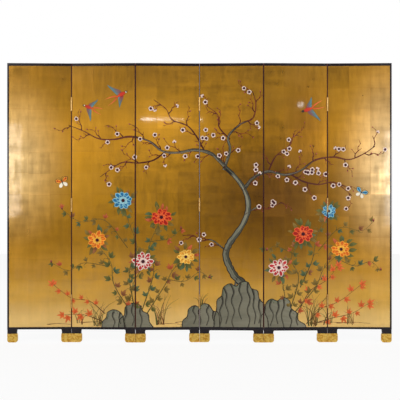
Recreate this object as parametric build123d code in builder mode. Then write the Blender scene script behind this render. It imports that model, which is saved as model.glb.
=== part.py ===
from build123d import *
from math import cos, radians, sin
import os

os.makedirs("parts", exist_ok=True)

# A six-panel folding screen. Every panel is a ladder frame of lacquered stiles and rails with
# a gilded board let into its front and a plain board let into its back. The stiles run down
# as legs with brass caps. Butt hinges join the panels, turn by turn at the front and the back.
# X runs along the screen, the painted front faces -Y, and Z = 0 is the floor. The screen stands
# in a slight zigzag, symmetric about the origin.

# Whole screen (mm)
panel_count = 6
panel_width = 419.0
screen_height = 1830.0
panel_thickness = 20.0
edge_gap = 0.1  # between neighbouring edges when the screen is opened flat
standing_tilt = 2.0  # degrees that each panel turns from the straight line, left and right in turn

# Rails and their joints into the stiles
top_rail_height = 62.0
bottom_rail_height = 78.0
tenon_length = 32.0
tenon_thickness = 7.0
tenon_shoulder = 12.0  # from the top and bottom of a rail to its tenon
tenon_fit = 0.1
edge_chamfer = 0.8

# Boards, and the black border that the frame leaves around them
board_thickness = 3.0
board_fit = 0.15
board_rise = 43.0  # from the caps' rims to the boards' lower edges
top_border = 18.0
end_border = 12.0
seam_lip = 2.0  # black edge between a hinge leaf's recess and the board
bottom_borders = (15.0, 16.0, 19.0, 22.0, 23.0, 14.0)  # the maker's rails differ a little

# Core battens
batten_count = 3
batten_height = 45.0

# Legs and foot caps
leg_width = 64.0
leg_taper = 1.5  # narrower just above the cap
leg_cove = 7.0
leg_shoulder = 2.0  # height of the step over the cap's rim
cap_height = 57.0
cap_flare = 3.3  # of the cap beyond the leg's inner side
cap_setback = 0.1  # of the cap from the panel's edge
cap_wall = 0.8
cap_fit = 0.1
cap_corner = 16.0  # radius of the bottom corner away from the next panel
cap_rim_lean = 2.0
cap_rim_height = 9.0
cap_edge_chamfer = 1.0

# Butt hinges. The rolled knuckles and the pins are drawn with flats, so that fifteen stay light.
bottom_hinge_height = 268.0  # from the floor to the middle of the lowest hinge
top_hinge_drop = 268.0  # from the top edge to the middle of the highest hinge
middle_hinge_drop = 14.0  # of the middle hinge below half height
knuckle_count = 5
knuckle_pitch = 17.8
knuckle_play = 0.2
knuckle_wall = 3.0
knuckle_sides = 12
barrel_clearance = 0.3  # between the barrel and the panel's face
leaf_thickness = 1.5
leaf_backset = 5.0  # wood left between a leaf and the face away from its barrel
leaf_fit = 0.1
pin_radius = 2.0
pin_play = 0.05
pin_sides = 8

# Worked out from the sizes above
core_thickness = panel_thickness - 2 * board_thickness
board_bottom = cap_height + board_rise
board_top = screen_height - top_border
board_middle = (board_bottom + board_top) / 2
seam_border = leaf_thickness + seam_lip
stile_width = leg_width + leg_cove
rail_length = panel_width - 2 * stile_width
leg_setback = cap_setback + cap_wall + cap_fit
shoulder_top = cap_height + leg_shoulder
cap_far_side = leg_width + cap_flare
leaf_width = panel_thickness - leaf_backset
knuckle_radius = pin_radius + knuckle_wall
pin_standoff = knuckle_radius + barrel_clearance
barrel_length = knuckle_count * knuckle_pitch
hinge_heights = (
    bottom_hinge_height,
    screen_height / 2 - middle_hinge_drop,
    screen_height - top_hinge_drop,
)
pin_x = (panel_width + edge_gap) / 2
pin_y = panel_thickness / 2 + pin_standoff
tilt_radians = radians(standing_tilt)
panel_pitch = 2 * (pin_x * cos(tilt_radians) + pin_y * sin(tilt_radians))
panels = range(1, panel_count + 1)
joints = range(1, panel_count)
LEFT, RIGHT = -1, 1
FRONT, BACK = -1, 1


def turn(panel):
    """The angle of a panel about Z, in radians."""
    return tilt_radians if panel % 2 else -tilt_radians


def middle_x(panel):
    return (panel - (panel_count + 1) / 2) * panel_pitch


def upright(panel, depth=0.0):
    """An upright plane of the panel: x along its width, y up, the normal out of its front.
    The depth is its distance in front of the panel's middle."""
    angle = turn(panel)
    middle = Plane(
        origin=(middle_x(panel), 0, 0),
        x_dir=(cos(angle), sin(angle), 0),
        z_dir=(sin(angle), -cos(angle), 0),
    )
    return middle.offset(depth)


def level(panel, height):
    """A level plane of the panel: x along its width, y towards its back."""
    angle = turn(panel)
    return Plane(
        origin=(middle_x(panel), 0, height),
        x_dir=(cos(angle), sin(angle), 0),
        z_dir=(0, 0, 1),
    )


def board_floors(panel):
    """The floor of the front rebate and the face of the back, one board's thickness below
    which the rebates end."""
    return upright(panel, core_thickness / 2), upright(panel, -panel_thickness / 2)


def hinge_levels(panel):
    """Level planes at the lower end of each hinge."""
    return [level(panel, height - barrel_length / 2) for height in hinge_heights]


def width_axis(panel):
    middle = upright(panel)
    return Axis(middle.origin, middle.x_dir)


def hinge_face(joint):
    """The face that carries a joint's barrels: the front at odd joints, the back at even ones."""
    return FRONT if joint % 2 else BACK


def joint_at(panel, side):
    return panel if side == RIGHT else panel - 1


def is_free(panel, side):
    """Whether no other panel follows at this side."""
    return joint_at(panel, side) not in joints


def border(panel, side):
    return end_border if is_free(panel, side) else seam_border


def underside(panel):
    return board_bottom - bottom_borders[(panel - 1) % len(bottom_borders)]


def bottom_rail_span(panel):
    return underside(panel), underside(panel) + bottom_rail_height


def top_rail_span():
    return screen_height - top_rail_height, screen_height


def across(side, distance):
    """The panel's x at a distance in from one edge."""
    return side * (panel_width / 2 - distance)


def save(piece, name):
    piece.part.label = name
    export_step(piece.part, f"parts/{name}.step")


def foot_corner(start, end, side, inset):
    """A bottom corner of the foot: round outside the cap, cut straight inside it."""
    if inset:
        return Line(start, end)
    return RadiusArc(start, end, side * cap_corner)


def foot_outline(side, inset, free):
    """Draw the foot's front, the inset inside its cap, open at the rim. The corner beside a
    next panel stays square. Returns the two ends at the rim."""
    near = cap_setback + inset
    far = cap_far_side - inset
    outer = Polyline(
        (across(side, far - cap_rim_lean), cap_height),
        (across(side, far), cap_height - cap_rim_height),
        (across(side, far), cap_corner),
    )
    far_corner = foot_corner(outer @ 1, (across(side, far - cap_corner), inset), side, inset)
    if free:
        sole = Line(far_corner @ 1, (across(side, near + cap_corner), inset))
        near_corner = foot_corner(sole @ 1, (across(side, near), cap_corner), side, inset)
        inner = Line(near_corner @ 1, (across(side, near), cap_height))
    else:
        inner = Polyline(
            far_corner @ 1,
            (across(side, near), inset),
            (across(side, near), cap_height),
        )
    return outer @ 0, inner @ 1


def stile(panel, side):
    """A stile with its leg and foot. Its blank is cut for the boards, for the rails' tenons
    and, at a joint, for the hinge leaves."""
    low = underside(panel)
    with BuildPart() as piece:
        with BuildSketch(upright(panel)):
            with BuildLine():
                far_rim, near_rim = foot_outline(side, cap_wall + cap_fit, is_free(panel, side))
                edge = Polyline(
                    near_rim,
                    (across(side, leg_setback), low),
                    (across(side, 0), low + leg_setback),
                    (across(side, 0), screen_height),
                    (across(side, stile_width), screen_height),
                    (across(side, stile_width), low),
                )
                cove_foot = (across(side, leg_width), low - leg_cove)
                cove = RadiusArc(edge @ 1, cove_foot, side * leg_cove)
                Polyline(cove @ 1, (across(side, leg_width - leg_taper), shoulder_top), far_rim)
            make_face()
        extrude(amount=panel_thickness / 2, both=True)
        uprights = piece.edges().filter_by(Axis.Z).group_by(width_axis(panel))
        chamfer(uprights[-1] if side == RIGHT else uprights[0], edge_chamfer)
        along = piece.edges().filter_by(width_axis(panel)).group_by(Axis.Z)
        chamfer(along[-1], edge_chamfer)
        lip = border(panel, side)
        with BuildSketch(*board_floors(panel)):
            with Locations((across(side, (lip + stile_width) / 2), board_middle)):
                Rectangle(stile_width - lip, board_top - board_bottom)
        extrude(amount=board_thickness, mode=Mode.SUBTRACT)
        with BuildSketch(upright(panel)):
            for bottom, top in (bottom_rail_span(panel), top_rail_span()):
                with Locations((across(side, stile_width - tenon_length / 2), (bottom + top) / 2)):
                    Rectangle(tenon_length, top - bottom - 2 * (tenon_shoulder - tenon_fit))
        extrude(amount=tenon_thickness / 2 + tenon_fit, both=True, mode=Mode.SUBTRACT)
        if not is_free(panel, side):
            face = hinge_face(joint_at(panel, side))
            recess_width = leaf_width + leaf_fit
            recess_y = face * (panel_thickness - recess_width) / 2
            with BuildSketch(*[plane.offset(-leaf_fit) for plane in hinge_levels(panel)]):
                with Locations((across(side, leaf_thickness / 2), recess_y)):
                    Rectangle(leaf_thickness, recess_width)
            extrude(amount=barrel_length + 2 * leaf_fit, mode=Mode.SUBTRACT)
    return piece


def rail(panel, bottom, top):
    """A rail between the stiles, with a tenon at each end and a rebate for each board."""
    rebate_bottom = max(bottom, board_bottom)
    rebate_top = min(top, board_top)
    with BuildPart() as piece:
        with BuildSketch(upright(panel)):
            with Locations((0, (bottom + top) / 2)):
                Rectangle(rail_length, top - bottom)
        extrude(amount=panel_thickness / 2, both=True)
        if top == screen_height:
            along = piece.edges().filter_by(width_axis(panel)).group_by(Axis.Z)
            chamfer(along[-1], edge_chamfer)
        with BuildSketch(*board_floors(panel)):
            with Locations((0, (rebate_bottom + rebate_top) / 2)):
                Rectangle(rail_length, rebate_top - rebate_bottom)
        extrude(amount=board_thickness, mode=Mode.SUBTRACT)
        with BuildSketch(upright(panel)):
            with Locations((0, (bottom + top) / 2)):
                Rectangle(
                    rail_length + 2 * (tenon_length - tenon_fit),
                    top - bottom - 2 * tenon_shoulder,
                )
        extrude(amount=tenon_thickness / 2, both=True)
    return piece


def core_battens(panel):
    """The inner battens between the boards, spread evenly from rail to rail."""
    lowest = bottom_rail_span(panel)[1]
    spacing = (top_rail_span()[0] - lowest) / (batten_count + 1)
    with BuildPart() as piece:
        with BuildSketch(upright(panel)):
            with Locations(*[(0, lowest + (i + 1) * spacing) for i in range(batten_count)]):
                Rectangle(rail_length, batten_height)
        extrude(amount=core_thickness / 2, both=True)
    return piece


def board(panel, floor):
    """A thin board that fills one rebate, flush with the frame."""
    left = across(LEFT, border(panel, LEFT) + board_fit)
    right = across(RIGHT, border(panel, RIGHT) + board_fit)
    with BuildPart() as piece:
        with BuildSketch(floor):
            with Locations(((left + right) / 2, board_middle)):
                Rectangle(right - left, board_top - board_bottom - 2 * board_fit)
        extrude(amount=board_thickness)
    return piece


def foot_faces(panel, inset):
    """The closed fronts of both feet of a panel, the inset inside their caps."""
    with BuildSketch(upright(panel)) as faces:
        for side in (LEFT, RIGHT):
            with BuildLine():
                far_rim, near_rim = foot_outline(side, inset, is_free(panel, side))
                Line(near_rim, far_rim)
            make_face()
    return faces.sketch


def foot_caps(panel):
    """The pair of cast brass caps, closed below and open above, over the two feet."""
    half_depth = panel_thickness / 2 + cap_fit
    with BuildPart() as piece:
        extrude(foot_faces(panel, 0), amount=half_depth + cap_wall, both=True)
        rim = piece.faces().filter_by(Axis.Z).group_by(Axis.Z)[-1].edges()
        outlines = piece.faces().filter_by(upright(panel)).edges()
        chamfer([edge for edge in outlines if edge not in rim], cap_edge_chamfer)
        extrude(foot_faces(panel, cap_wall), amount=half_depth, both=True, mode=Mode.SUBTRACT)
    return piece


def hinge_leaves(panel):
    """The leaves let into the edges of a panel. The leaf at the left of a joint carries the
    odd knuckles, the leaf at its right the even ones, with the bore for the pin through all."""
    with BuildPart() as piece:
        for side in (LEFT, RIGHT):
            if is_free(panel, side):
                continue
            face = hinge_face(joint_at(panel, side))
            leaf_x = across(side, leaf_thickness / 2)
            plate_length = leaf_width + pin_standoff
            with BuildSketch(*hinge_levels(panel)):
                with Locations((leaf_x, face * (pin_y - plate_length / 2))):
                    Rectangle(leaf_thickness, plate_length)
                with Locations((side * pin_x, face * pin_y)):
                    RegularPolygon(knuckle_radius, knuckle_sides)
                    RegularPolygon(
                        pin_radius + pin_play, pin_sides, major_radius=False, mode=Mode.SUBTRACT
                    )
            extrude(amount=barrel_length)
            absent = range(1 if side == RIGHT else 0, knuckle_count, 2)
            with BuildSketch(upright(panel, -face * panel_thickness / 2)):
                for height in hinge_heights:
                    for knuckle in absent:
                        gap_middle = height + (knuckle + 0.5) * knuckle_pitch - barrel_length / 2
                        with Locations((side * pin_x, gap_middle)):
                            Rectangle(3 * knuckle_radius, knuckle_pitch + knuckle_play)
            extrude(amount=-face * 3 * knuckle_radius, mode=Mode.SUBTRACT)
    return piece


def hinge_pins(joint):
    """The pins of a joint, each flush with the ends of its barrel."""
    with BuildPart() as piece:
        with BuildSketch(*hinge_levels(joint)):
            with Locations((pin_x, hinge_face(joint) * pin_y)):
                RegularPolygon(pin_radius, pin_sides)
        extrude(amount=barrel_length)
    return piece


for panel in panels:
    save(stile(panel, LEFT), f"panel_{panel}_left_stile")
    save(stile(panel, RIGHT), f"panel_{panel}_right_stile")
    save(rail(panel, *bottom_rail_span(panel)), f"panel_{panel}_bottom_rail")
    save(rail(panel, *top_rail_span()), f"panel_{panel}_top_rail")
    save(core_battens(panel), f"panel_{panel}_core_battens")
    front_floor, back_face = board_floors(panel)
    save(board(panel, front_floor), f"panel_{panel}_front_board")
    save(board(panel, back_face), f"panel_{panel}_back_board")
    save(foot_caps(panel), f"panel_{panel}_foot_caps")
    save(hinge_leaves(panel), f"panel_{panel}_hinge_leaves")

for joint in joints:
    save(hinge_pins(joint), f"joint_{joint}_hinge_pins")
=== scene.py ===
import random
from functools import partialmethod
from math import asin, atan2, cos, log, pi, radians, sin

import bmesh
import bpy
from mathutils import Matrix, Vector


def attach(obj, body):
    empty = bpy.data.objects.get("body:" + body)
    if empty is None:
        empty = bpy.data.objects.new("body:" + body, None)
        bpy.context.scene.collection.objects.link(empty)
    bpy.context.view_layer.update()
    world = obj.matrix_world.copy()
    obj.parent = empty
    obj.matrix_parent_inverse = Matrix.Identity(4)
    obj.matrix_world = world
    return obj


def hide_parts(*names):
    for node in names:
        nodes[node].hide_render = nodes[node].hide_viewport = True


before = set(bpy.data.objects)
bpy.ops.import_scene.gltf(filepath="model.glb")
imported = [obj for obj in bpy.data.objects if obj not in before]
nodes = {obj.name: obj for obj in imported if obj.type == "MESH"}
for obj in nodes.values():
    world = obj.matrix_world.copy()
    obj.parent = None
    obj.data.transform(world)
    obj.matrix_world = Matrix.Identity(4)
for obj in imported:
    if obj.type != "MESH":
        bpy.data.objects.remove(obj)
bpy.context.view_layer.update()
chance = random.Random(1830)

# Sizes of the screen in metres, as in its CAD source where it has them
PANELS = range(1, 7)
JOINTS = range(1, 6)
PANEL_WIDTH = 0.419
PANEL_THICKNESS = 0.020
SCREEN_HEIGHT = 1.830
EDGE_GAP = 0.0001
STANDING_TILT = radians(2.0)
BOARD_BOTTOM = 0.100
BOARD_TOP = 1.812
BOARD_FIT = 0.00015
END_BORDER = 0.012
SEAM_BORDER = 0.0035
PIN_STANDOFF = 0.0053
KNUCKLE_COUNT = 5
KNUCKLE_PITCH = 0.0178
KNUCKLE_PLAY = 0.0002
KNUCKLE_RADIUS = 0.005
KNUCKLE_ROUND = 0.0004
KNUCKLE_BITE = 0.0030
PIN_RADIUS = 0.002
PIN_BORE = 0.00205
PIN_DOME = ((0, 0), (0.0009, 0.00008), (0.0016, 0.0003), (PIN_RADIUS, 0.0007))
LEAF_THICKNESS = 0.0015
LEAF_WIDTH = 0.015
SCREW_HOLE = 0.0032
SCREW_HEAD = 0.0031
SCREW_SLOT = 0.00045
SCREW_SINK = 0.00003
SCREW_PLACES = ((0.0055, -0.033), (0.0095, 0.0), (0.0055, 0.033))
HINGE_HEIGHTS = (0.268, 0.901, 1.562)
CAP_HEIGHT = 0.057
CAP_NEAR = 0.0001
CAP_FAR = 0.0673
CAP_WALL = 0.0008
CAP_FIT = 0.0001
CAP_CORNER = 0.016
CAP_ROUND = 0.0011
CAP_RIM_LEAN = 0.002
CAP_RIM_HEIGHT = 0.009
CAP_RIM_SWEEP = 1.6

HALF_WIDTH = PANEL_WIDTH / 2
HALF_THICKNESS = PANEL_THICKNESS / 2
PIN_X = (PANEL_WIDTH + EDGE_GAP) / 2
PIN_Y = HALF_THICKNESS + PIN_STANDOFF
PANEL_PITCH = 2 * (PIN_X * cos(STANDING_TILT) + PIN_Y * sin(STANDING_TILT))
BARREL_LENGTH = KNUCKLE_COUNT * KNUCKLE_PITCH
LEFT, RIGHT = -1, 1
FRONT, BACK = -1, 1


def middle_x(panel):
    return (panel - 3.5) * PANEL_PITCH


def standing(panel):
    """The placing of a panel: x along its width, y towards its back."""
    tilt = STANDING_TILT if panel % 2 else -STANDING_TILT
    return Matrix.Translation((middle_x(panel), 0, 0)) @ Matrix.Rotation(tilt, 4, "Z")


def at_end(panel, side):
    """Whether this side of the panel is an end of the screen."""
    return (panel, side) in ((1, LEFT), (6, RIGHT))


def border(panel, side):
    return END_BORDER if at_end(panel, side) else SEAM_BORDER


def barrel_face(joint):
    """The face of the screen that the barrels of a joint stand on."""
    return FRONT if joint % 2 else BACK


def barrels():
    """The lower end, middle and upper end of each barrel of a joint."""
    return [(height - BARREL_LENGTH / 2, height, height + BARREL_LENGTH / 2) for height in HINGE_HEIGHTS]


# ---------------------------------------------------------------- finishes

def tone(red, green, blue):
    """A colour written as screen values from 0 to 255, as linear light."""
    shares = (value / 255 for value in (red, green, blue))
    return (*(s / 12.92 if s <= 0.04045 else ((s + 0.055) / 1.055) ** 2.4 for s in shares), 1.0)


class Wire:
    """An output of a shader node. Arithmetic on it places the nodes that work out the result."""

    def __init__(self, node, output=0):
        self.tree, self.socket = node.id_data, node.outputs[output]

    def maths(self, operation, b=0.0, c=0.0):
        return wired(self.tree, "Math", {0: self, 1: b, 2: c}, operation=operation)

    __add__ = partialmethod(maths, "ADD")
    __sub__ = partialmethod(maths, "SUBTRACT")
    __rsub__ = partialmethod(maths, "MULTIPLY_ADD", -1.0)
    __mul__ = partialmethod(maths, "MULTIPLY")
    __truediv__ = partialmethod(maths, "DIVIDE")
    __abs__ = partialmethod(maths, "ABSOLUTE")
    floor = partialmethod(maths, "FLOOR")
    fraction = partialmethod(maths, "FRACT")
    at_least = partialmethod(maths, "MAXIMUM")


def feed(node, inputs):
    """Fill inputs of a node with values, or link wires to them."""
    for label, value in inputs.items():
        socket = node.inputs[label]
        if isinstance(value, Wire):
            node.id_data.links.new(value.socket, socket)
        else:
            socket.default_value = value


def labelled(inputs):
    """Inputs given as keyword arguments, under the labels of their sockets."""
    return {label.replace("_", " "): value for label, value in inputs.items()}


def place(tree, kind, inputs=None, **settings):
    """Add a shader node, make its settings, and feed its inputs."""
    made = tree.nodes.new(f"ShaderNode{kind}")
    for name, value in settings.items():
        setattr(made, name, value)
    feed(made, inputs or {})
    return made


def wired(tree, kind, inputs=None, output=0, **settings):
    """A shader node of which one output is used."""
    return Wire(place(tree, kind, inputs, **settings), output)


def vectors(operation, a, b=(0, 0, 0), output=0):
    """Vector arithmetic that starts from a wire."""
    return wired(a.tree, "VectorMath", {0: a, 1: b}, operation=operation, output=output)


def stretched(where, x, y, z):
    return vectors("MULTIPLY", where, (x, y, z))


def parted(vector):
    """The x, y and z of a vector."""
    parts = place(vector.tree, "SeparateXYZ", {0: vector})
    return [Wire(parts, axis) for axis in "XYZ"]


def place_in(tree):
    """The place on the object, in its own x, y and z."""
    return wired(tree, "TexCoord", output="Object")


def mixed(share, a, b):
    """Colour a passing into colour b."""
    return wired(share.tree, "Mix", {0: share, 6: a, 7: b}, data_type="RGBA", output=2)


def ranged(value, low, high, first=0.0, last=1.0, smooth=True):
    """The value carried from low..high to first..last, and held there outside it."""
    curve = "SMOOTHSTEP" if smooth else "LINEAR"
    inputs = {0: value, 1: low, 2: high, 3: first, 4: last}
    return wired(value.tree, "MapRange", inputs, interpolation_type=curve)


def stepped(value, stops, curve):
    """The value, from 0 to 1, turned into colours at its stops."""
    made = place(value.tree, "ValToRGB", {0: value})
    made.color_ramp.interpolation = curve
    elements = made.color_ramp.elements
    for i, (position, colour) in enumerate(stops):
        element = elements[i] if i < 2 else elements.new(position)
        element.position, element.color = position, colour
    return Wire(made, "Color")


def noise(where, scale, detail=3.0, roughness=0.5, distortion=0.0, output="Fac"):
    inputs = {"Vector": where, "Scale": scale, "Detail": detail, "Roughness": roughness, "Distortion": distortion}
    return wired(where.tree, "TexNoise", inputs, output=output)


def brightened(colour, value):
    return wired(colour.tree, "HueSaturation", {"Value": value, "Color": colour})


def effect(name, inputs, outputs):
    """A new shader node group: its tree, its inputs as wires in their order, and its inner end."""
    group = bpy.data.node_groups.new(name, "ShaderNodeTree")
    for label, value in inputs.items():
        kind = "NodeSocketColor" if isinstance(value, tuple) else "NodeSocketFloat"
        group.interface.new_socket(label, in_out="INPUT", socket_type=kind).default_value = value
    for label, kind in outputs.items():
        group.interface.new_socket(label, in_out="OUTPUT", socket_type=f"NodeSocket{kind}")
    start = group.nodes.new("NodeGroupInput")
    return group, [Wire(start, label) for label in inputs], group.nodes.new("NodeGroupOutput")


def placed(tree, group, **values):
    """A group in a material, with its own values: its outputs as wires in their order."""
    made = place(tree, "Group", node_tree=group)
    feed(made, labelled(values))
    return [Wire(made, i) for i in range(len(made.outputs))]


def edge_wear():
    """Where rubbed corners show: a mask that is 1 along sharp edges and broken by noise."""
    settings = {"Width": 0.0015, "Amount": 0.5, "Breaks": 60.0}
    group, (width, amount, breaks), end = effect("Edge wear", settings, {"Mask": "Float"})
    rounded = wired(group, "Bevel", {"Radius": width}, samples=4)
    true = wired(group, "NewGeometry", output="Normal")
    near_edge = ranged(vectors("DOT_PRODUCT", rounded, true, "Value"), 0.999, 0.90)
    broken = ranged(noise(place_in(group), breaks, 4.0), 0.42, 0.62)
    feed(end, {"Mask": near_edge * broken * amount})
    return group


def leafed_squares():
    """Square leaves laid edge over edge: a tint, a gloss and a lean for each leaf, and the laps between."""
    group, (leaf_size, lap_width), end = effect(
        "Leafed squares",
        {"Leaf": 0.14, "Lap": 0.02},
        {"Tint": "Float", "Gloss": "Float", "Laps": "Float", "Lean": "Vector"},
    )
    centred = (0.5, 0.5, 0.5)
    where = place_in(group)
    wobble = vectors("SUBTRACT", noise(where, 9.0, 2.0, output="Color"), centred)
    x, _, z = parted(vectors("ADD", stretched(wobble, 0.004, 0.0, 0.004), where))
    across = x / leaf_size
    column = across.floor()
    stagger = wired(group, "TexWhiteNoise", {"W": column}, noise_dimensions="1D", output="Value")
    up = stagger * 0.12 + z / leaf_size
    cell = wired(group, "CombineXYZ", {"X": column, "Y": up.floor()})
    dice = wired(group, "TexWhiteNoise", {"Vector": cell}, noise_dimensions="2D", output="Color")
    tint, gloss, _ = parted(dice)
    sides = [abs(share.fraction() - 0.5) for share in (across, up)]
    lapped, lapped_up = (ranged(0.5 - side, 0.0, lap_width, 1.0, 0.0) for side in sides)
    laps = lapped.at_least(lapped_up)
    feed(end, {"Tint": tint, "Gloss": gloss, "Laps": laps, "Lean": vectors("SUBTRACT", dice, centred)})
    return group


def brushed_paint():
    """One stroke of paint: its colour from root to tip, darker or lighter rims, a vein and brush marks."""
    group, (root, tip, rim, rim_width, reach, vein, streaky), end = effect(
        "Brushed paint",
        {
            "Root": (0, 0, 0, 1),
            "Tip": (1, 1, 1, 1),
            "Rim": (0, 0, 0, 1),
            "Rim Width": 0.15,
            "Reach": 0.6,
            "Vein": 0.0,
            "Streaks": 0.35,
        },
        {"Colour": "Color", "Roughness": "Float", "Height": "Float"},
    )
    along, across, _ = parted(wired(group, "UVMap", uv_map="stroke"))
    seed, depth, _ = parted(wired(group, "UVMap", uv_map="mark"))
    middle = abs(across * 2.0 - 1.0)
    bristles = {"X": along * 2.5, "Y": across * 9.0, "Z": seed * 90.0}
    streaks = noise(wired(group, "CombineXYZ", bristles), 1.0, 3.0, 0.6)
    colour = mixed(ranged(streaks * 0.5 - 0.25 + along, 0.05, reach), root, tip)
    colour = mixed(ranged(middle, 0.05, 0.16, 1.0, 0.0) * vein, colour, rim)
    inner = 1.0 - rim_width
    outer = middle.at_least(ranged(along, 0.72, 1.0, smooth=False))
    at_rim = ranged(outer, inner - 0.12, inner) * ranged(rim_width, 0.0, 0.02)
    colour = mixed(at_rim, colour, rim)
    shade = (streaks - 0.5) * streaky + (depth * 0.24 + 0.88)
    feed(end, {"Colour": brightened(colour, shade), "Roughness": streaks * 0.25 + 0.30, "Height": streaks})
    return group


EDGE_WEAR = edge_wear()
LEAFED_SQUARES = leafed_squares()
BRUSHED_PAINT = brushed_paint()


def finish_of(name, **plain):
    """A new material with its Principled shader, whose plain settings are made at once."""
    made = bpy.data.materials.new(name)
    made.use_nodes = True
    shader = made.node_tree.nodes["Principled BSDF"]
    feed(shader, labelled(plain))
    return made, made.node_tree, shader


def bumped(shader, height, distance, strength=1.0, lean=None):
    """Relief from a height, on a surface whose facing may lean a little, square by square."""
    relief = {"Height": height, "Distance": distance, "Strength": strength}
    if lean:
        tree = height.tree
        facing = wired(tree, "TexCoord", output="Normal")
        leant = {"Vector": vectors("ADD", facing, lean)}
        space = {"vector_type": "NORMAL", "convert_from": "OBJECT", "convert_to": "WORLD"}
        relief["Normal"] = wired(tree, "VectorTransform", leant, **space)
    feed(shader, {"Normal": wired(height.tree, "Bump", relief)})


# Tones of the leaf by their share of the screen's height: the gold's own colour with painted light, a painted
# reflection of the pale floor at the foot and darker above
GOLD_AND_LIGHT_BY_HEIGHT = (
    (0.06, (242, 202, 122)),
    (0.17, (212, 162, 66)),
    (0.26, (186, 134, 34)),
    (0.38, (160, 112, 18)),
    (0.52, (168, 119, 20)),
    (0.72, (176, 124, 22)),
    (0.90, (156, 110, 20)),
    (0.99, (150, 106, 24)),
)
# Soft round patches of painted light and shade: painted shade that darkens the middle and the upper left, and
# painted highlights that lighten the leaf, creamier at the ends where the lamps reflect: centre and reach in x
# and z, share and tone
PAINTED_LIGHT_PATCHES = (
    ((0.50, 0.96), (0.86, 0.70), 0.95, (98, 61, 4)),
    ((-0.84, 1.86), (0.86, 0.46), 0.56, (120, 82, 12)),
    ((-0.24, 1.36), (0.42, 0.42), 0.40, (200, 144, 38)),
    ((-0.62, 0.46), (0.42, 0.28), 0.40, (212, 156, 50)),
    ((-1.24, 1.18), (0.46, 0.64), 0.82, (187, 160, 110)),
    ((1.26, 1.14), (0.42, 0.80), 0.85, (190, 165, 122)),
    ((0.70, 1.46), (0.24, 0.42), 0.60, (112, 70, 4)),
)
# Half the brightness of the leaf on each panel: a painted brightness that stands in for the light each panel
# reflects
PANEL_LIGHT_LEVELS = (0.50, 0.495, 0.55, 0.55, 0.475, 0.51)


def gold_leaf():
    """Metal leaf in squares under amber lacquer, with painted light: a painted reflection of the pale floor at
    the foot, painted shade in the middle, painted highlights at the ends and a painted brightness for each panel.
    """
    made, tree, shader = finish_of(
        "Gold leaf", Metallic=0.78, Coat_Weight=0.8, Coat_Roughness=0.065, Specular_IOR_Level=0.4
    )
    where = place_in(tree)
    x, _, z = parted(where)
    # Painted light by height: a painted reflection of the pale floor at the foot, darker above
    colour = stepped(z / SCREEN_HEIGHT, [(height, tone(*tone_and_light)) for height, tone_and_light in GOLD_AND_LIGHT_BY_HEIGHT], "EASE")
    # Painted shade and painted highlights, patch by patch
    for (across, up), (wide, tall), share, tone_and_light in PAINTED_LIGHT_PATCHES:
        apart = stretched(vectors("SUBTRACT", where, (across, 0, up)), 1 / wide, 0, 1 / tall)
        light_patch = ranged(vectors("LENGTH", apart, output="Value"), 0.0, 1.0, 1.0, 0.0)
        colour = mixed(light_patch * share, colour, tone(*tone_and_light))
    # Painted brightness panel by panel, standing in for the light that each reflects
    panel_light_stops = [(i / len(PANELS), (half, half, half, 1.0)) for i, half in enumerate(PANEL_LIGHT_LEVELS)]
    panel_light = stepped(x / (len(PANELS) * PANEL_PITCH) + 0.5, panel_light_stops, "CONSTANT")
    tint, gloss, laps, lean = placed(tree, LEAFED_SQUARES, Leaf=PANEL_PITCH / 3, Lap=0.022)

    clouds = noise(where, 5.0, 5.0, 0.62)
    upright = noise(stretched(where, 1.0, 1.0, 0.10), 26.0, 3.0, 0.6)
    level = noise(stretched(where, 0.14, 1.0, 1.0), 28.0, 3.0, 0.55)
    rubbed = noise(stretched(where, 1.0, 1.0, 0.14), 80.0, 4.0, 0.68)
    grained = noise(stretched(where, 1.0, 1.0, 0.30), 55.0, 2.0)
    crumpled = noise(stretched(where, 1.0, 1.0, 0.30), 28.0, 1.0)
    blotches = noise(stretched(where, 1.0, 1.0, 0.24), 26.0, 3.0, 0.55)
    blotches = (blotches + noise(stretched(where, 0.30, 1.0, 1.0), 20.0)) * 0.5
    rising = ranged(z, 0.25, 0.72, 0.2, 1.0)
    tint = (tint - 0.5) * rising
    shade = tint * 0.11 + clouds * 0.20 + upright * 0.14 + level * 0.14 + rubbed * 0.12 + 0.70
    uneven = ranged(blotches, 0.37, 0.63, -0.17, 0.17, smooth=False) * rising + tint * 0.16
    ends = ranged(abs(x), 0.80, 1.10)
    shade = (ends * 0.65 + 0.35) * uneven + shade
    colour = brightened(colour, shade * (panel_light * 2.0))
    lapped = laps * ranged(clouds, 0.35, 0.65, 0.10, 0.65) * rising
    colour = mixed(lapped * 0.50, colour, tone(146, 92, 24))
    bare = ranged(noise(where, 240.0, 2.0, 0.8), 0.70, 0.76)
    colour = mixed(bare * 0.5, colour, tone(120, 48, 24))

    rough = gloss * 0.06 + 0.26 + ranged(grained, 0.35, 0.65, 0.0, 0.04)
    rough += ranged(blotches, 0.40, 0.60, 0.10, 0.0) + ranged(level, 0.35, 0.65, 0.0, 0.05)
    coat = gloss * 0.35 + 0.05 + ranged(blotches, 0.40, 0.60, 0.0, 0.5)
    feed(shader, {"Base Color": colour, "Roughness": rough, "Coat Weight": coat})
    relief = laps * 0.5 + rubbed + crumpled * 5.5 + blotches * 1.5
    bumped(shader, relief, 0.0002, 0.6, vectors("MULTIPLY", stretched(lean, 0.036, 0.0, 0.036), rising))
    return made


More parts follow.
